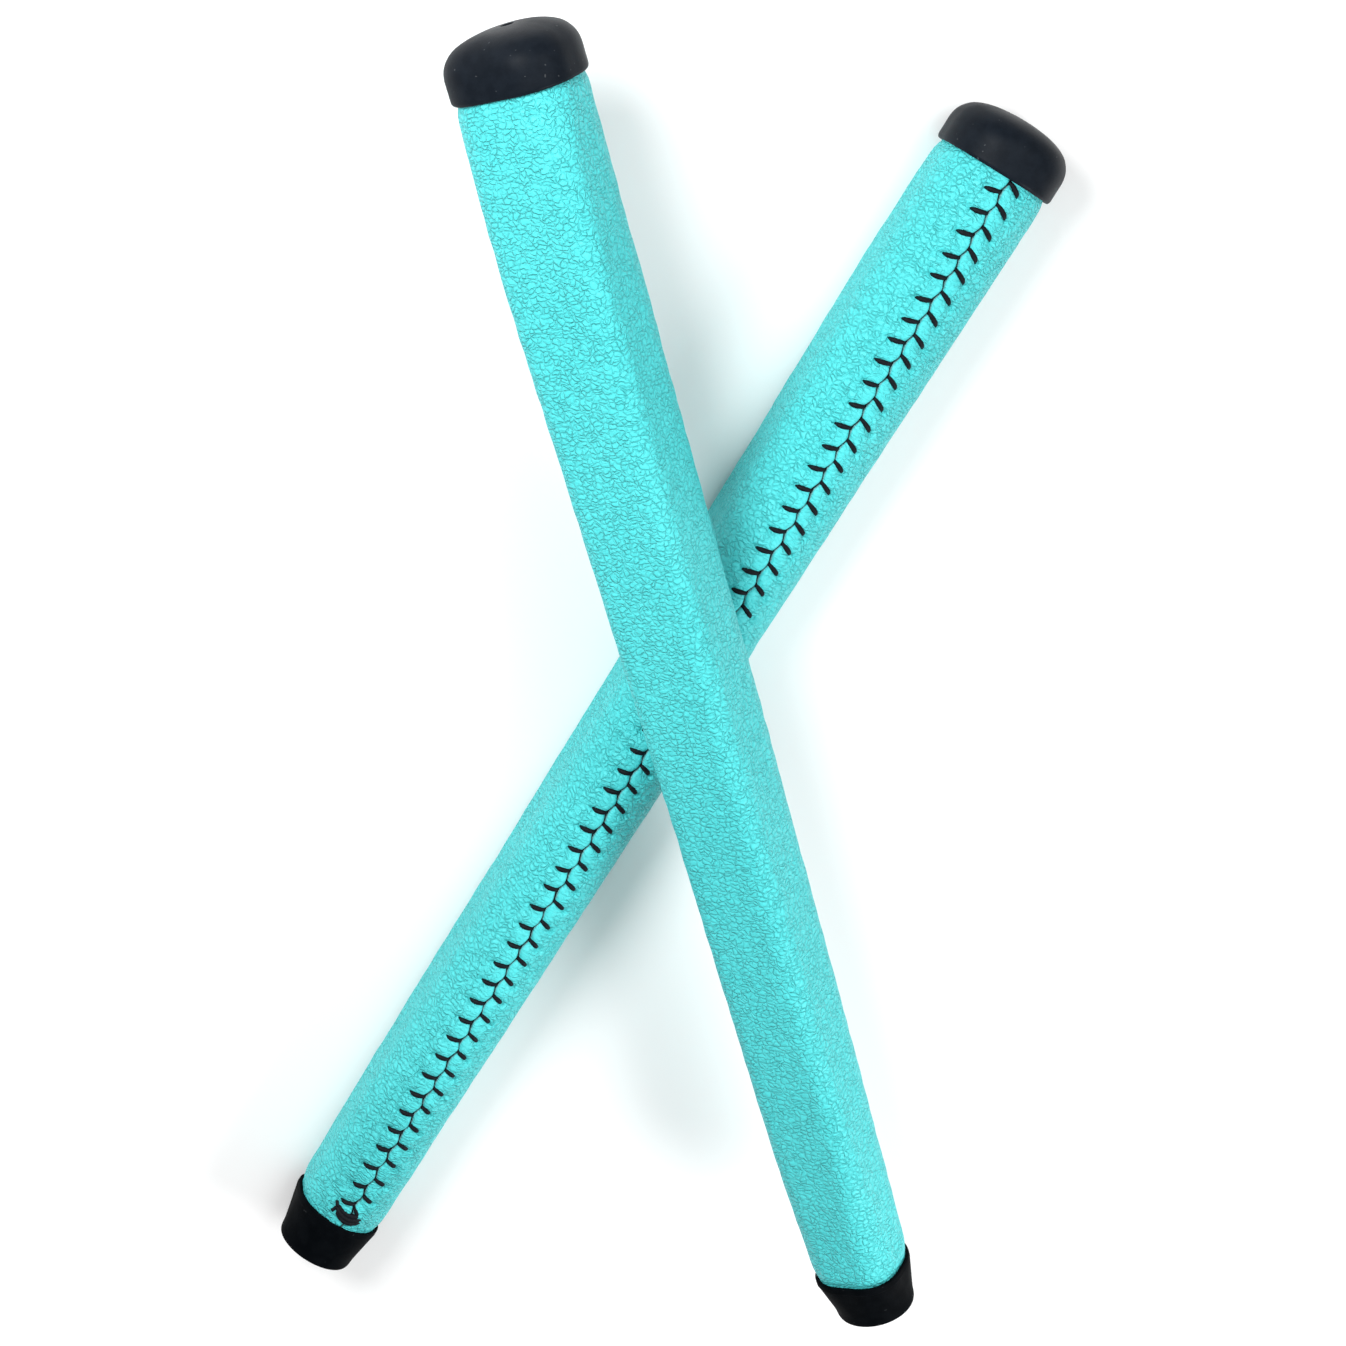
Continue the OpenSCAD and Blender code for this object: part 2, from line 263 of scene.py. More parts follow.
def relief(a, s, stitches, seed):
    """Height of the leather over its nominal surface, a signed from the seam."""
    d = np.abs(a)
    h = WAVE_H * waves(a, s, seed, BROAD_WAVE) + WAVE_H * waves(a, s, seed + 1, SHORT_WAVE)
    pillow = smooth((d + 0.25) / 1.1) * (1 - smooth((d - PILLOW_END) / PILLOW_FADE))
    h = h + PILLOW_H * pillow
    side = np.where(a >= 0, 1, -1)
    for stitch in stitches:
        rows = np.where(np.abs(s[:, 0] - stitch["s"]) < STITCH_SPAN)[0]
        near = slice(rows[0], rows[-1] + 1)
        own_side = side[near] == stitch["side"]
        h[near] -= own_side * stitch_dent(stitch, d[near], s[near])
    return h


# Distance along the stick from each rim, and the share of TUCK_IN drawn in there
TIP_TUCK = [(-1.1, 1.0), (0.0, 0.98), (0.2, 0.92), (1.1, 0.42), (1.8, 0.16), (2.8, 0.0)]
BUTT_TUCK = [(-3.3, 0.0), (-1.9, 0.16), (-0.9, 0.5), (-0.1, 0.95), (3.5, 1.0)]


def tuck(s):
    """How far the leather is drawn in at its two rims."""
    at = [RIM_TIP + x for x, _ in TIP_TUCK] + [RIM_BUTT + x for x, _ in BUTT_TUCK]
    return TUCK_IN * np.interp(s, at, [y for _, y in TIP_TUCK + BUTT_TUCK])


# Columns of the leather's mesh: distance from the seam, and the rounding of the cut edge
EDGE_COLS = [(0.13, -0.85), (0.14, -0.55), (0.19, -0.28), (0.30, -0.12), (0.46, -0.03)]
NEAR_COLS = [0.66, 0.95, 1.25, 1.55, 1.87, 2.2, 2.53, 2.86, 3.2, 3.55, 3.9, 4.28, 4.7, 5.2, 5.8, 6.5]
FAR_COLS = 66
INNER_STEP = 3
ROW_STEP = 0.42
RIM_ROWS = [RIM_BUTT + 1.2, RIM_BUTT + 2.3, RIM_BUTT + TUCK_BUTT]
# How unevenly the cut edges part and curl: amount, size of the feature, reach from the seam
EDGE_PART, EDGE_CURL = (0.09, 2.6, 0.6), (0.06, 1.7, 0.35)
SHIFT_REACH = 2.2
# The raw edge's width, and as far as it shows through the dye, with the share that shows
RAW_W, RAW_FADE, RAW_SHARE = 0.13, 0.2, 0.55


def leather_columns(per):
    """For every row, arc lengths from the seam all the way round, and the cut edges' rounding."""
    near = np.array([c[0] for c in EDGE_COLS] + NEAR_COLS)
    drop = np.array([c[1] for c in EDGE_COLS] + [0.0] * len(NEAR_COLS))
    frac = np.linspace(0, 1, FAR_COLS + 2)[1:-1]
    per = per[:, None]
    a = np.concatenate([np.tile(near, (len(per), 1)),
                        near[-1] + frac * (per - 2 * near[-1]),
                        per - near[::-1]], axis=1)
    edge = np.tile(np.concatenate([drop, np.zeros(FAR_COLS), drop[::-1]]), (len(per), 1))
    return a, edge


def sheet_faces(n, cols, keep):
    """Faces of a sheet n rows long: outside, inside (only the kept columns), edges and ends."""
    faces = grid_faces(n, cols)
    base, kc = n * cols, len(keep)
    for i in range(n - 1):
        for j in range(kc - 1):
            p = base + i * kc + j
            faces.append((p, p + kc, p + kc + 1, p + 1))
        o, q = i * cols, base + i * kc
        faces.append((o, o + cols, q + kc, q))
        o, q = i * cols + cols - 1, base + i * kc + kc - 1
        faces.append((o, q, q + kc, o + cols))
    for i in (0, n - 1):
        for j in range(kc - 1):
            top = [i * cols + c for c in range(keep[j], keep[j + 1] + 1)]
            low = [base + i * kc + j + 1, base + i * kc + j]
            faces.append(tuple(top + low if i else top[::-1] + low[::-1]))
    return faces


def point_values(mesh, name, kind, key, values):
    """Store one value for every point of a mesh, for its material to read."""
    layer = mesh.attributes.new(name, kind, "POINT")
    layer.data.foreach_set(key, np.asarray(values, np.float32).ravel())


def leather_cover(stick, material):
    """The leather: one thin cut sheet, wrapped round and open along the seam."""
    rows = np.concatenate([np.arange(RIM_TIP - TUCK_TIP, RIM_BUTT + 0.4, ROW_STEP), RIM_ROWS])
    per = perimeter(rows)
    a, edge = leather_columns(per)
    n, cols = a.shape
    s = np.repeat(rows[:, None], cols, axis=1)
    signed = np.where(a > per[:, None] / 2, a - per[:, None], a)
    d, side = np.abs(signed), np.sign(signed)
    seed = LEATHER_SEEDS[stick]
    h = relief(signed, s, stitch_plan(stick), seed)
    # the cut edges part a little more in some places than in others
    amount, size, reach = EDGE_PART
    gap = amount * waves(s, side * 31.0, seed + 3, size) * np.exp(-(d / reach) ** 2)
    closed_end = smooth((s - RIM_TIP - 1.0) / 2.5)
    shift = seam_shift(s) * np.exp(-(d / SHIFT_REACH) ** 2) * closed_end
    amount, size, reach = EDGE_CURL
    edge = edge + amount * waves(s, side * 57.0, seed + 4, size) * np.exp(-(d / reach) ** 2)
    u, v, nu, nv = leather_section(s, a + shift + gap * side)
    rise = h + edge - tuck(s)
    outer = np.stack([u + nu * rise, s, v + nv * rise], axis=2)
    keep = sorted(set(range(0, cols, INNER_STEP)) | {cols - 1})
    deep = -LEATHER_T - tuck(s) + 0.02
    deep[:, 0] = deep[:, -1] = -LEATHER_T
    inner = np.stack([u + nu * deep, s, v + nv * deep], axis=2)[:, keep]
    verts = np.concatenate([outer.reshape(-1, 3), inner.reshape(-1, 3)])
    ob = make(stick + "_leather_cover", stick, verts, sheet_faces(n, cols, keep), material,
              [stick + "_leather"])
    # where each point is on the flat cut piece: across, along, and from the seam
    lay = np.stack([a - per[:, None] / 2, s, d], axis=2)
    lay = np.concatenate([lay.reshape(-1, 3), lay[:, keep].reshape(-1, 3)])
    point_values(ob.data, "lay", "FLOAT_VECTOR", "vector", lay)
    # where the cut, undyed edge shows
    raw = np.where(d < RAW_W, 1.0, np.where(d < RAW_FADE, RAW_SHARE, 0.0))
    raw = np.concatenate([raw.reshape(-1), np.ones(n * len(keep))])
    point_values(ob.data, "raw", "FLOAT", "value", raw)


# ------------------------------------------------------------------ the thread
def surface_point(s, a, h):
    """Points at height h over the leather's nominal surface, as (u, s, v)."""
    s, a, h = np.broadcast_arrays(np.asarray(s, float), a, h)
    u, v, nu, nv = leather_section(s, a)
    return np.stack([u + nu * h, s, v + nv * h], axis=-1)


def distances(path):
    """Distance of every point from the first, along the path."""
    return np.concatenate([[0], np.cumsum(np.linalg.norm(np.diff(path[:, :3], axis=0), axis=1))])


def even(path, step):
    """The same path with points a step apart; columns past the third follow along."""
    path = path[np.concatenate([[True], np.diff(distances(path)) > 1e-6])]
    at = distances(path)
    n = max(2, int(round(at[-1] / step)) + 1)
    q = np.linspace(0, at[-1], n)
    return np.stack([np.interp(q, at, column) for column in path.T], axis=1)


def soften(path, times):
    """The same path with its corners eased."""
    for _ in range(times):
        path = path.copy()
        path[1:-1] = 0.25 * path[:-2] + 0.5 * path[1:-1] + 0.25 * path[2:]
    return path


# Sides of the thread's mesh, its plies, and the length of one turn of them
THREAD_SIDES, PLIES, TURN_LENGTH = 12, 3, 2.6


def twisted(path, radius):
    """Points and faces of a laid thread: its plies show as turns round it."""
    n = len(path)
    tang = np.gradient(path, axis=0)
    tang /= np.linalg.norm(tang, axis=1)[:, None]
    nor = np.zeros((n, 3))
    ref = np.cross(tang[0], [0.0, 0.0, 1.0])
    if np.linalg.norm(ref) < 1e-3:
        ref = np.cross(tang[0], [1.0, 0.0, 0.0])
    nor[0] = ref / np.linalg.norm(ref)
    for i in range(1, n):
        q = nor[i - 1] - tang[i] * np.dot(nor[i - 1], tang[i])
        nor[i] = q / np.linalg.norm(q)
    bi = np.cross(tang, nor)
    th = np.linspace(0, 2 * math.pi, THREAD_SIDES, endpoint=False)
    turn = th - 2 * math.pi * distances(path)[:, None] / TURN_LENGTH
    r = np.broadcast_to(radius, n)[:, None] * (0.93 + 0.09 * np.abs(np.cos(PLIES / 2.0 * turn)))
    pts = (path[:, None, :] + nor[:, None, :] * (r * np.cos(th))[..., None]
           + bi[:, None, :] * (r * np.sin(th))[..., None])
    faces = grid_faces(n, THREAD_SIDES, closed=True)
    faces.append(tuple(range(THREAD_SIDES))[::-1])
    faces.append(tuple((n - 1) * THREAD_SIDES + j for j in range(THREAD_SIDES)))
    return pts.reshape(-1, 3), faces


# Steps between the points of the two kinds of thread
LACE_STEP, KNOT_STEP = 0.24, 0.2
# How far the lacing lies sunk in the leather, and how deep it dives at the seam and the hole
LACE_SUNK, SEAM_DIVE, HOLE_DIVE = 0.10, 0.60, 0.85
# How far off the seam's middle a stitch starts, and how far it bows along the stick and up
START_OFF, BOW_ALONG, BOW_UP = 0.05, 0.12, 0.06


def lacing(stick, material):
    """One thread, in a zigzag: out of the seam, over, down a hole, back under."""
    path = []
    t = np.linspace(0, 1, 26)
    bow = np.sin(math.pi * t)
    for stitch in stitch_plan(stick):
        start = START_OFF * stitch["side"] + float(seam_shift(stitch["s"]))
        a = start + (stitch["side"] * stitch["reach"] - start) * t
        s = stitch["s"] - stitch["slant"] * t + BOW_ALONG * bow * stitch["side"]
        h = -LACE_SUNK + BOW_UP * bow
        h = h - SEAM_DIVE * (1 - smooth(t / 0.15)) - HOLE_DIVE * smooth((t - 0.66) / 0.34) ** 1.3
        # pulled thinner where it leaves the seam and where it enters its hole
        r = THREAD_R * (0.85 + 0.30 * smooth(t / 0.45)) * (1 - 0.38 * smooth((t - 0.60) / 0.40))
        path.append(np.column_stack([surface_point(s, a, h), r]))
    pts = soften(even(np.concatenate(path), LACE_STEP), 1)
    verts, faces = twisted(pts[:, :3], pts[:, 3])
    make(stick + "_thread", stick, verts, faces, material, [stick + "_lacing"])


# Each turn of the tie-off: place past the collar, sag, left and right ends, height
KNOT_TURNS = [(4.35, 1.10, -3.2, 2.3, 0.06), (3.95, 1.50, -3.4, 2.9, 0.22), (3.50, 1.85, -3.2, 3.2, 0.10)]
TURN_R, LEAD_R, END_R = 0.56, 0.50, 0.36


def knot(stick, material):
    """The tie-off at the tip: three turns across the seam, drawn into a bow, with two cut ends."""
    strands = []
    t = np.linspace(-1, 1, 41)
    for place, sag, left, right, high in KNOT_TURNS:
        a = (left + right) / 2 + t * (right - left) / 2
        s = RIM_TIP + place - sag * (1 - t ** 2) ** 0.9
        h = high - 0.95 * np.abs(t) ** 7 - 0.1 * t ** 2
        strands.append((surface_point(s, a, h), TURN_R))
    t = np.linspace(0, 1, 14)
    bow = np.sin(math.pi * t)
    # from the last stitch down into the bow
    lead = surface_point(RIM_TIP + 5.4 - 1.9 * t, 0.15 + 1.5 * t, -0.5 + 0.6 * bow.clip(0) ** 0.8)
    strands.append((lead, LEAD_R))
    # the two cut ends, on the left
    upper_end = surface_point(RIM_TIP + 3.9 + 0.9 * t, -3.1 - 0.75 * t, 0.05 + 0.22 * bow)
    lower_end = surface_point(RIM_TIP + 3.7 - 1.3 * t, -3.2 - 0.45 * t, 0.1 + 0.12 * t)
    strands += [(upper_end, END_R), (lower_end, END_R)]
    verts, faces = [], []
    for path, radius in strands:
        points, sides = twisted(soften(even(path, KNOT_STEP), 2), radius)
        faces += [tuple(len(verts) + k for k in side) for side in sides]
        verts.extend(points)
    make(stick + "_knot", stick, verts, faces, material, [stick + "_tie_off"])


# ------------------------------------------------------------ the two mouldings
def catmull(rows, n):
    """A smooth run through rows of numbers, n steps between each pair."""
    p = np.asarray(rows, float)
    p = np.vstack([2 * p[0] - p[1], p, 2 * p[-1] - p[-2]])
    out = []
    for i in range(1, len(p) - 2):
        for k in range(n):
            t = k / n
            out.append(0.5 * (2 * p[i] + (p[i + 1] - p[i - 1]) * t
                              + (2 * p[i - 1] - 5 * p[i] + 4 * p[i + 1] - p[i + 2]) * t ** 2
                              + (3 * p[i] - p[i - 1] - 3 * p[i + 1] + p[i + 2]) * t ** 3))
    out.append(p[-2])
    return np.array(out)


RING = 120
SHARP_ANGLE = 40
# How far the mouths of the cap and the collar are eased, and over what length
MOUTH_WIDER, MOUTH_LENGTH, MOUTH_GAP = 0.2, 0.25, 0.02
VENT_EASE = 0.08


def ring(w, b, f, r, s, k=1.0, mid=0.0):
    """Points round a section of the stick, shrunk by k towards mid."""
    q = np.linspace(0, 1, RING, endpoint=False) * float(around(w, b, f, r))
    u, v, _, _ = outline(w, b, f, r, q)
    return np.stack([u * k, np.full(RING, s), mid + (v - mid) * k], axis=1)


def circle(r, s, mid=0.0):
    t = np.linspace(0, 2 * math.pi, RING, endpoint=False)
    return np.stack([r * np.sin(t), np.full(RING, s), mid + r * np.cos(t)], axis=1)


def section_ring(s, g, gf, at, k=1.0, mid=0.0):
    """The leather's section at s, grown by g (gf at the front), put at another place."""
    return ring(float(half_w(s)) + g, float(back_d(s)) + g, FRONT_D + gf,
                float(edge_r(s)) + (g + gf) / 2, at, k, mid)


def loop_solid(rings):
    """A closed solid from rings that run over the outside and back through the inside."""
    n = len(rings)
    faces = grid_faces(n, RING, closed=True)
    for j in range(RING):
        k = (j + 1) % RING
        faces.append(((n - 1) * RING + j, (n - 1) * RING + k, k, j))
    return np.concatenate(rings), faces


def recess_rings(rim, depth):
    """The rings of the recess over the leather's end; depth is signed, from the rim."""
    way = math.copysign(1.0, depth)
    inside = SKIN - TUCK_IN
    return [section_ring(rim, inside, inside, rim + depth),
            section_ring(rim, inside, inside, rim + way * MOUTH_LENGTH),
            section_ring(rim, inside + MOUTH_WIDER, inside + MOUTH_WIDER, rim + way * MOUTH_GAP)]


# Height over the rim, and the share of the full section there
CAP_STEPS = [[0, .968], [.12, .980], [.35, .992], [.8, 1], [2.6, 1.0], [4.6, .999],
             [6.2, .972], [7.6, .905], [8.8, .8], [9.7, .64], [10.3, .44], [10.62, .2]]


def cap(stick, material):
    mid = (float(back_d(RIM_BUTT)) + CAP_PROUD - REST_D) / 2
    gf = REST_D - FRONT_D
    rings = []
    for h, k in catmull(CAP_STEPS, 5):
        at = RIM_BUTT + h * CAP_H / CAP_STEPS[-1][0]
        rings.append(section_ring(RIM_BUTT, CAP_PROUD, gf, at, k, mid))
    rings.append(circle(VENT_R + VENT_EASE, STICK_LEN - 0.01, mid))
    rings.append(circle(VENT_R, STICK_LEN - VENT_EASE, mid))
    rings.append(circle(VENT_R, RIM_BUTT + CAP_RECESS, mid))
    rings += recess_rings(RIM_BUTT, CAP_RECESS)
    verts, faces = loop_solid(rings)
    make(stick + "_end_cap", stick, verts, faces, material,
         [stick + "_cap"], SHARP_ANGLE)


# Distance from the tip's end face, share of the full size, and how far the shape has
# gone from the stick's section to the end circle
COLLAR_STEPS = [[0, .95, .97], [.12, .968, .969], [.35, .985, .965], [.9, 1, .95],
                [2.6, 1, .84], [5.6, 1, .48], [8.7, 1, .1], [9.15, 1, .05], [9.4, 1, 0],
                [10.3, 1, 0], [10.5, .995, 0], [10.6, .985, 0]]


def collar(stick, material):
    full = [float(half_w(RIM_TIP)) + COLLAR_PROUD, float(back_d(RIM_TIP)) + COLLAR_PROUD,
            REST_D, float(edge_r(RIM_TIP)) + COLLAR_PROUD]
    rings = []
    for s, k, t in catmull(COLLAR_STEPS, 5):
        w, b, f, r = ((1 - t) * reach + t * COLLAR_END_R for reach in full)
        rings.append(ring(w, b, f, r, s, k))
    rings += recess_rings(RIM_TIP, -COLLAR_RECESS)[::-1]
    rings.append(circle(BORE_R, RIM_TIP - COLLAR_RECESS))
    rings.append(circle(BORE_R, MOUTH_EASE))
    rings.append(circle(BORE_R + MOUTH_EASE, 0.0))
    verts, faces = loop_solid(rings)
    make(stick + "_tip_collar", stick, verts, faces, material,
         [stick + "_collar"], SHARP_ANGLE)


# ------------------------------------------------------------------- materials
class Nodes:
    """A small hand for building a material's node tree."""

    def __init__(self, name):
        self.mat = bpy.data.materials.new(name)
        self.mat.use_nodes = True
        self.tree = self.mat.node_tree
        self.tree.nodes.clear()
        out = self.add("ShaderNodeOutputMaterial")
        self.bsdf = self.add("ShaderNodeBsdfPrincipled")
        self.tree.links.new(self.bsdf.outputs[0], out.inputs["Surface"])

    def add(self, kind, **props):
        n = self.tree.nodes.new(kind)
        for k, v in props.items():
            setattr(n, k, v)
        return n

    def feed(self, socket, value):
        if isinstance(value, bpy.types.NodeSocket):
            self.tree.links.new(value, socket)
        else:
            socket.default_value = value

    def math(self, op, *values):
        n = self.add("ShaderNodeMath", operation=op)
        for socket, value in zip(n.inputs, values):
            self.feed(socket, value)
        return n.outputs[0]

    def vec(self, op, a, b):
        n = self.add("ShaderNodeVectorMath", operation=op)
        self.feed(n.inputs[0], a)
        self.feed(n.inputs[1], b)
        return n.outputs[0]

    def noise(self, vector, scale, detail=2.0, rough=0.5, out="Fac"):
        n = self.add("ShaderNodeTexNoise")
        self.feed(n.inputs["Vector"], vector)
        n.inputs["Scale"].default_value = scale
        n.inputs["Detail"].default_value = detail
        n.inputs["Roughness"].default_value = rough
        return n.outputs[out]

    def cells(self, vector, scale, feature="DISTANCE_TO_EDGE"):
        n = self.add("ShaderNodeTexVoronoi", feature=feature, voronoi_dimensions="2D")
        self.feed(n.inputs["Vector"], vector)
        n.inputs["Scale"].default_value = scale
        return n.outputs["Distance"]

    def span(self, value, lo, hi, to_lo=0.0, to_hi=1.0):
        """A smooth step from to_lo at lo to to_hi at hi."""
        n = self.add("ShaderNodeMapRange", interpolation_type="SMOOTHSTEP")
        self.feed(n.inputs["Value"], value)
        for key, v in (("From Min", lo), ("From Max", hi), ("To Min", to_lo), ("To Max", to_hi)):
            self.feed(n.inputs[key], v)
        return n.outputs[0]

    def blend(self, height, weight, over):
        """over, with weight times height added."""
        return self.math("MULTIPLY_ADD", height, weight, over)

    def lines(self, noise, width):
        """Thin lines of 0 on 1, where a noise passes its middle."""
        return self.span(self.math("ABSOLUTE", self.math("SUBTRACT", noise, 0.5)), 0.0, width)

    def mix(self, fac, a, b):
        n = self.add("ShaderNodeMix", data_type="RGBA")
        self.feed(n.inputs[0], fac)
        self.feed(n.inputs[6], a)
        self.feed(n.inputs[7], b)
        return n.outputs[2]

    def set(self, colour, rough, height, depth, specular):
        """Fill the surface; depth is how tall a height of 1 stands, in metres."""
        n = self.add("ShaderNodeBump")
        self.feed(n.inputs["Height"], height)
        n.inputs["Distance"].default_value = depth
        n.inputs["Strength"].default_value = 1.0
        self.feed(self.bsdf.inputs["Base Color"], colour)
        self.feed(self.bsdf.inputs["Roughness"], rough)
        self.feed(self.bsdf.inputs["Normal"], n.outputs[0])
        self.bsdf.inputs["Specular IOR Level"].default_value = specular
        return self.mat


def rgb(r, g, b):
    return (r, g, b, 1.0)


# Turquoise dye as it lies at large, a darker tone of it painted as shade in the hollows and creases, and
# where it is thinnest
DYE, PAINTED_HOLLOW_SHADE, DYE_PALE = rgb(0.058, 0.615, 0.635), rgb(0.024, 0.410, 0.430), rgb(0.090, 0.710, 0.725)
# The cut edge of the leather, from its dark fibres to its pale ones
EDGE_DARK, EDGE_PALE = rgb(0.10, 0.17, 0.18), rgb(0.42, 0.50, 0.50)
GRAIN_DEPTH = 0.00031


def wandering(m, lay):
    """The flat leather's coordinates, warped at large and by about a pebble's size."""
    warp = m.vec("SUBTRACT", m.noise(lay, 0.35, 2.0, 0.5, "Color"), (0.5, 0.5, 0.5))
    warped = m.vec("ADD", lay, m.vec("MULTIPLY", warp, (2.4, 2.0, 0.0)))
    jog = m.vec("SUBTRACT", m.noise(lay, 1.5, 2.0, 0.6, "Color"), (0.5, 0.5, 0.5))
    return m.vec("ADD", warped, m.vec("MULTIPLY", jog, (0.45, 0.40, 0.0)))


def pebbled(m, lay, warped):
    """The pebbles' height and the grooves between them, in cells longer across the stick."""
    grain = m.vec("MULTIPLY", warped, (0.80, 1.18, 0.0))
    pebble = m.span(m.cells(grain, 0.95, "SMOOTH_F1"), 0.05, 0.70, 1.0, 0.0)
    split = m.span(m.cells(grain, 0.95), 0.0, 0.21)
    # the grooves are shallower here and there, so that not every cell is closed all round
    fade = m.noise(m.vec("ADD", warped, (7.0, 3.0, 0.0)), 0.65)
    fade = m.span(fade, 0.38, 0.58, 0.50, 1.0)
    groove = m.math("MULTIPLY", m.math("SUBTRACT", 1.0, split), fade)
    minor = m.span(m.cells(m.vec("ADD", grain, (11.0, 5.0, 0.0)), 1.6), 0.0, 0.20)
    region = m.span(m.noise(lay, 0.09), 0.35, 0.65, 0.45, 1.0)
    height = m.math("MULTIPLY", pebble, 0.34)
    height = m.blend(groove, -0.78, height)
    height = m.blend(m.math("MULTIPLY", minor, region), 0.09, height)
    return height, groove


def drawn_wrinkles(m, warped, down, seam):
    """Wrinkles that run out from the stitches and gather towards the tip."""
    streak = m.noise(m.vec("MULTIPLY", warped, (0.20, 1.25, 0.0)), 1.0)
    near_seam = m.span(seam, 2.0, 12.0, 1.0, 0.0)
    near_tip = m.span(down, RIM_TIP + 1.0, RIM_TIP + 60.0, 1.0, 0.25)
    return m.math("MULTIPLY", m.math("MULTIPLY", near_seam, near_tip), m.lines(streak, 0.12))


def leather_material():
    m = Nodes("turquoise_leather")
    lay = m.add("ShaderNodeAttribute", attribute_name="lay").outputs["Vector"]
    raw = m.add("ShaderNodeAttribute", attribute_name="raw").outputs["Fac"]
    axes = m.add("ShaderNodeSeparateXYZ")
    m.feed(axes.inputs[0], lay)
    down, seam = axes.outputs[1], axes.outputs[2]
    warped = wandering(m, lay)
    height, groove = pebbled(m, lay, warped)
    # long fine folds, mostly across the stick
    fold = m.lines(m.noise(m.vec("MULTIPLY", warped, (0.26, 0.62, 0.0)), 1.0, 3.0, 0.55), 0.045)
    height = m.blend(fold, 0.16, height)
    # the grain is pulled flat beside the seam
    quiet = m.span(seam, 0.5, 3.4, 0.25, 1.0)
    height = m.math("MULTIPLY", height, quiet)
    fine = m.noise(lay, 5.0, 3.0, 0.6)
    height = m.blend(fine, 0.05, height)
    height = m.blend(drawn_wrinkles(m, warped, down, seam), 1.0, height)
    # the dye is patchy at large, and the hollows get painted shade, a darker tone of the dye
    patch = m.span(m.noise(lay, 0.05, 3.0), 0.2, 0.8, 0.35, 0.75)
    colour = m.mix(patch, DYE, DYE_PALE)
    hollow = m.math("MULTIPLY", groove, quiet)
    colour = m.mix(m.math("MULTIPLY", hollow, 0.27), colour, PAINTED_HOLLOW_SHADE)
    # the fine folds get a little painted shade too, the same darker tone as the hollows
    crease = m.math("SUBTRACT", 1.0, m.math("MULTIPLY", fold, quiet))
    colour = m.mix(m.math("MULTIPLY", crease, 0.06), colour, PAINTED_HOLLOW_SHADE)
    fray = m.span(m.noise(lay, 4.0, 2.0, 0.7), 0.35, 0.65)
    colour = m.mix(raw, colour, m.mix(fray, EDGE_DARK, EDGE_PALE))
    rough = m.blend(hollow, 0.10, m.span(fine, 0.3, 0.7, 0.44, 0.58))
    return m.set(colour, rough, height, GRAIN_DEPTH, 0.40)


def rubber_material(name, base, pale, rough_lo, rough_hi, dust, specular):
    """Moulded rubber: mottled from base to pale, with a share of dust specks on it."""
    m = Nodes(name)
    co = m.add("ShaderNodeTexCoord").outputs["Object"]
    mottle = m.noise(co, 420.0, 4.0, 0.6)
    fine = m.noise(co, 3600.0, 2.0, 0.6)
    broad = m.noise(co, 90.0)
    colour = m.mix(m.span(mottle, 0.3, 0.7), base, pale)
    speck = m.span(m.noise(co, 1150.0, 1.0, 0.4), 0.765, 0.79)
    colour = m.mix(m.math("MULTIPLY", speck, dust), colour, rgb(0.16, 0.17, 0.18))
    rough = m.span(broad, 0.35, 0.65, rough_lo, rough_hi)
    rough = m.blend(m.math("SUBTRACT", fine, 0.5), 0.12, rough)
    height = m.blend(mottle, 0.6, m.math("MULTIPLY", fine, 0.4))
    return m.set(colour, rough, height, 0.00004, specular)


def thread_material():
    m = Nodes("waxed_thread")
    co = m.add("ShaderNodeTexCoord").outputs["Object"]
    fibre = m.noise(co, 5200.0, 3.0, 0.65)
    wax = m.noise(co, 700.0)
    colour = m.mix(m.span(fibre, 0.3, 0.75), rgb(0.002, 0.003, 0.005), rgb(0.011, 0.012, 0.016))
    rough = m.span(wax, 0.3, 0.7, 0.42, 0.66)
    return m.set(colour, rough, fibre, 0.00006, 0.12)


# ---------------------------------------------------------------- build pieces
LEATHER = leather_material()
CAP_RUBBER = rubber_material(
    "cap_rubber", rgb(0.0045, 0.0072, 0.0115), rgb(0.007, 0.0105, 0.016), 0.42, 0.54, 0.25, 0.08)
COLLAR_RUBBER = rubber_material(
    "collar_rubber", rgb(0.0012, 0.0018, 0.0026), rgb(0.0025, 0.0034, 0.0045), 0.58, 0.70, 0.12, 0.02)
SLEEVE_RUBBER = rubber_material(
    "sleeve_rubber", rgb(0.022, 0.022, 0.025), rgb(0.034, 0.034, 0.038), 0.62, 0.78, 0.4, 0.4)
THREAD = thread_material()

for stick in ("lower", "upper"):
    leather_cover(stick, LEATHER)
    lacing(stick, THREAD)
    knot(stick, THREAD)
    cap(stick, CAP_RUBBER)
    collar(stick, COLLAR_RUBBER)
    core = frame["nodes"][stick + "_core"]
    core.data.materials.clear()
    core.data.materials.append(SLEEVE_RUBBER)

# ----------------------------------------------------------------------- stage
lo, hi = np.array(cad_box[0]), np.array(cad_box[1])
mid = (lo + hi) / 2
FLOOR_HALF = 2.5
WORLD_LIGHT = 0.31
# Each light: place and target from the middle of the footprint, disk's width, watts
LIGHTS = {
    "key_butt": ((-0.24, 0.26, 0.36), (-0.01, 0.09, 0.02), 0.22, 2.1),
    "fill_butt": ((0.24, 0.24, 0.46), (0.02, 0.06, 0.02), 0.30, 0.8),
    "key_tip": ((0.27, -0.25, 0.25), (0.01, -0.10, 0.02), 0.16, 0.98),
    "top_soft": ((-0.05, 0.05, 0.75), (0.0, 0.0, 0.0), 0.6, 0.9),
}


def link(name, data):
    """A new object in the scene."""
    ob = bpy.data.objects.new(name, data)
    bpy.context.scene.collection.objects.link(ob)
    return ob


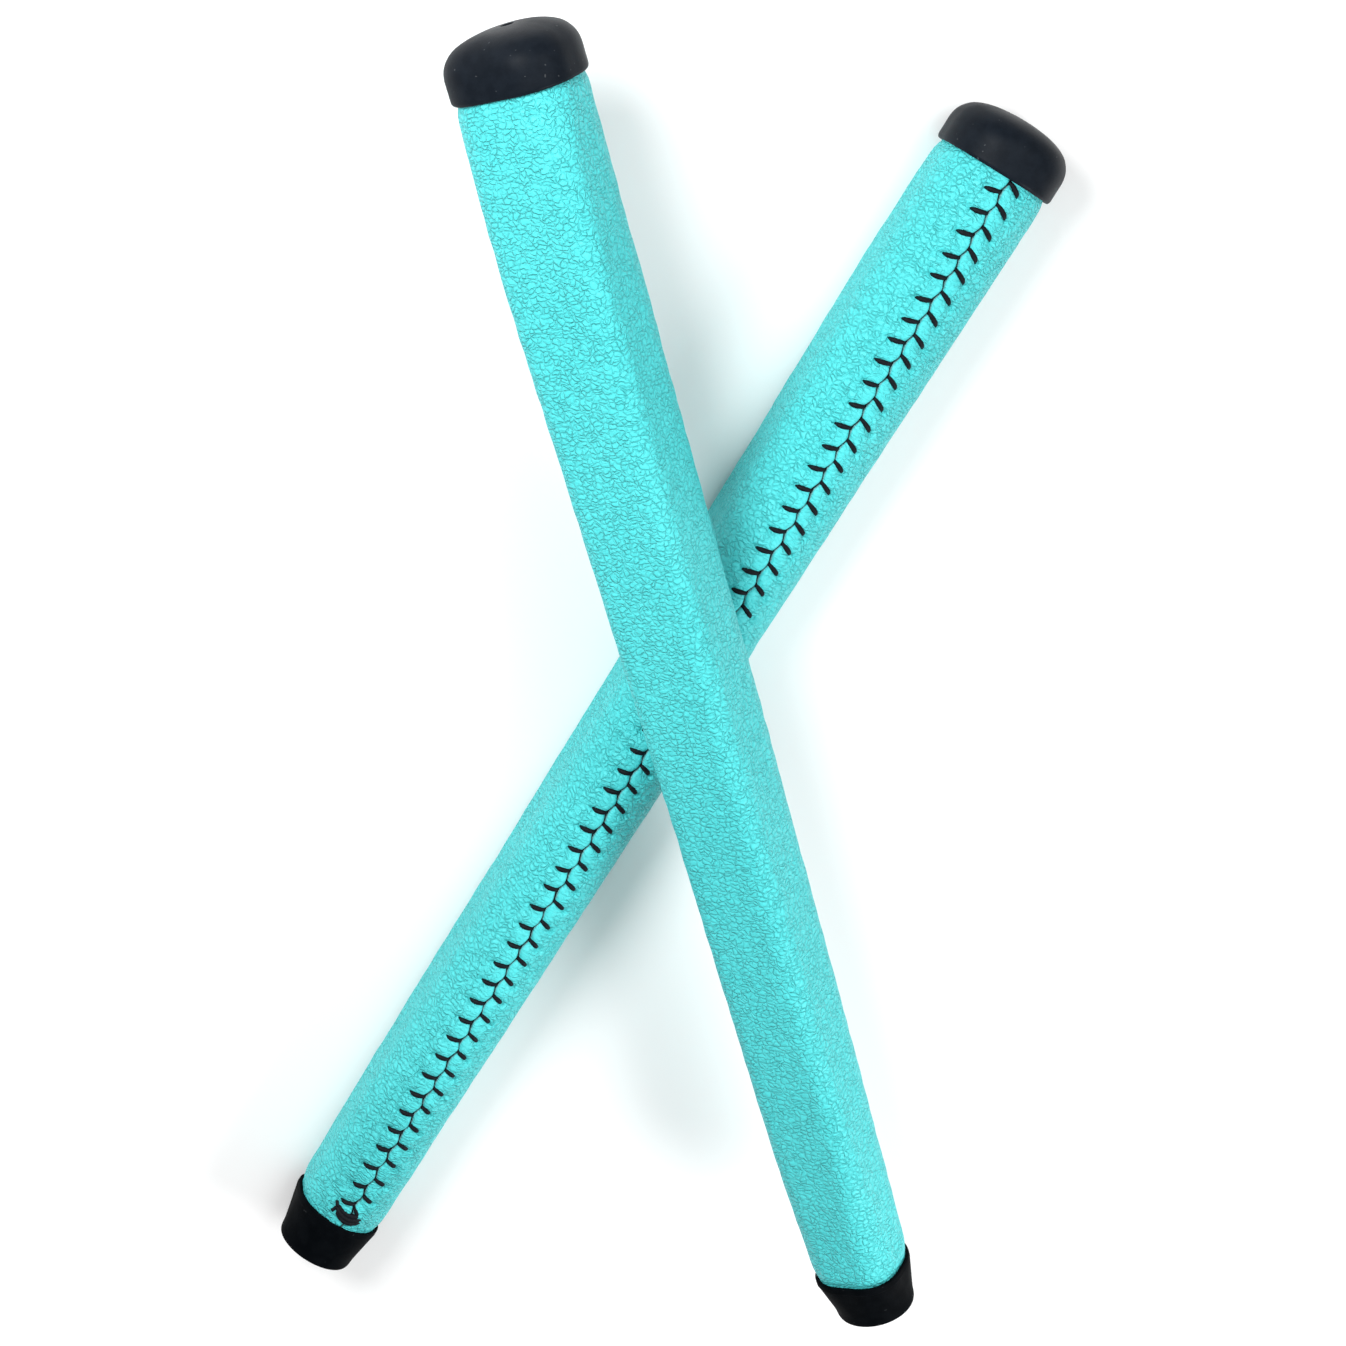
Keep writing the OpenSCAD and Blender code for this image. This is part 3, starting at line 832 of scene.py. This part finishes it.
def pale_floor():
    m = Nodes("pale_floor")
    co = m.add("ShaderNodeTexCoord").outputs["Object"]
    colour = m.mix(m.noise(co, 3.0), rgb(0.90, 0.90, 0.90), rgb(0.93, 0.93, 0.93))
    m.feed(m.bsdf.inputs["Base Color"], colour)
    m.bsdf.inputs["Roughness"].default_value = 0.9
    m.bsdf.inputs["Specular IOR Level"].default_value = 0.1
    m.bsdf.inputs["Emission Color"].default_value = rgb(1.0, 1.0, 1.0)
    m.bsdf.inputs["Emission Strength"].default_value = 0.04
    return m.mat


def floor():
    me = bpy.data.meshes.new("studio_floor")
    corners = [(-1, -1), (1, -1), (1, 1), (-1, 1)]
    me.from_pydata([(x * FLOOR_HALF, y * FLOOR_HALF, lo[2]) for x, y in corners], [], [(0, 1, 2, 3)])
    me.materials.append(pale_floor())
    link("studio_floor", me)


def area_light(name, place, target, size, power):
    data = bpy.data.lights.new(name, "AREA")
    data.shape = "DISK"
    data.size = size
    data.energy = power
    ob = link(name, data)
    ob.location = (mid[0] + place[0], mid[1] + place[1], place[2])
    target = Vector((mid[0] + target[0], mid[1] + target[1], target[2]))
    ob.rotation_euler = (target - ob.location).to_track_quat("-Z", "Y").to_euler()


floor()
world = bpy.data.worlds.new("studio")
bpy.context.scene.world = world
world.use_nodes = True
world.node_tree.nodes["Background"].inputs[0].default_value = (1.0, 1.0, 1.0, 1.0)
world.node_tree.nodes["Background"].inputs[1].default_value = WORLD_LIGHT
for name, (place, target, size, power) in LIGHTS.items():
    area_light(name, place, target, size, power)

# ---------------------------------------------------------------------- camera
# Place from the middle of the footprint and the floor, and turns about Y and then X
CAMERA_PLACE = (-0.07868, 0.17370, 0.50902)
CAMERA_TURN_Y, CAMERA_TURN_X = math.radians(-7.815), math.radians(-18.285)

camera_data = bpy.data.cameras.new("camera")
camera_data.sensor_width = 36.0
camera_data.lens = 72.86
camera_data.shift_x = 0.0522
camera_data.shift_y = -0.0171
camera_data.clip_start = 0.01
camera_data.clip_end = 20.0
camera = link("camera", camera_data)
turn = Matrix.Rotation(CAMERA_TURN_Y, 3, "Y") @ Matrix.Rotation(CAMERA_TURN_X, 3, "X")
place = Vector((mid[0], mid[1], lo[2])) + Vector(CAMERA_PLACE)
camera.matrix_world = Matrix.Translation(place) @ turn.to_4x4()
bpy.context.scene.camera = camera
bpy.context.scene.view_settings.view_transform = "Standard"
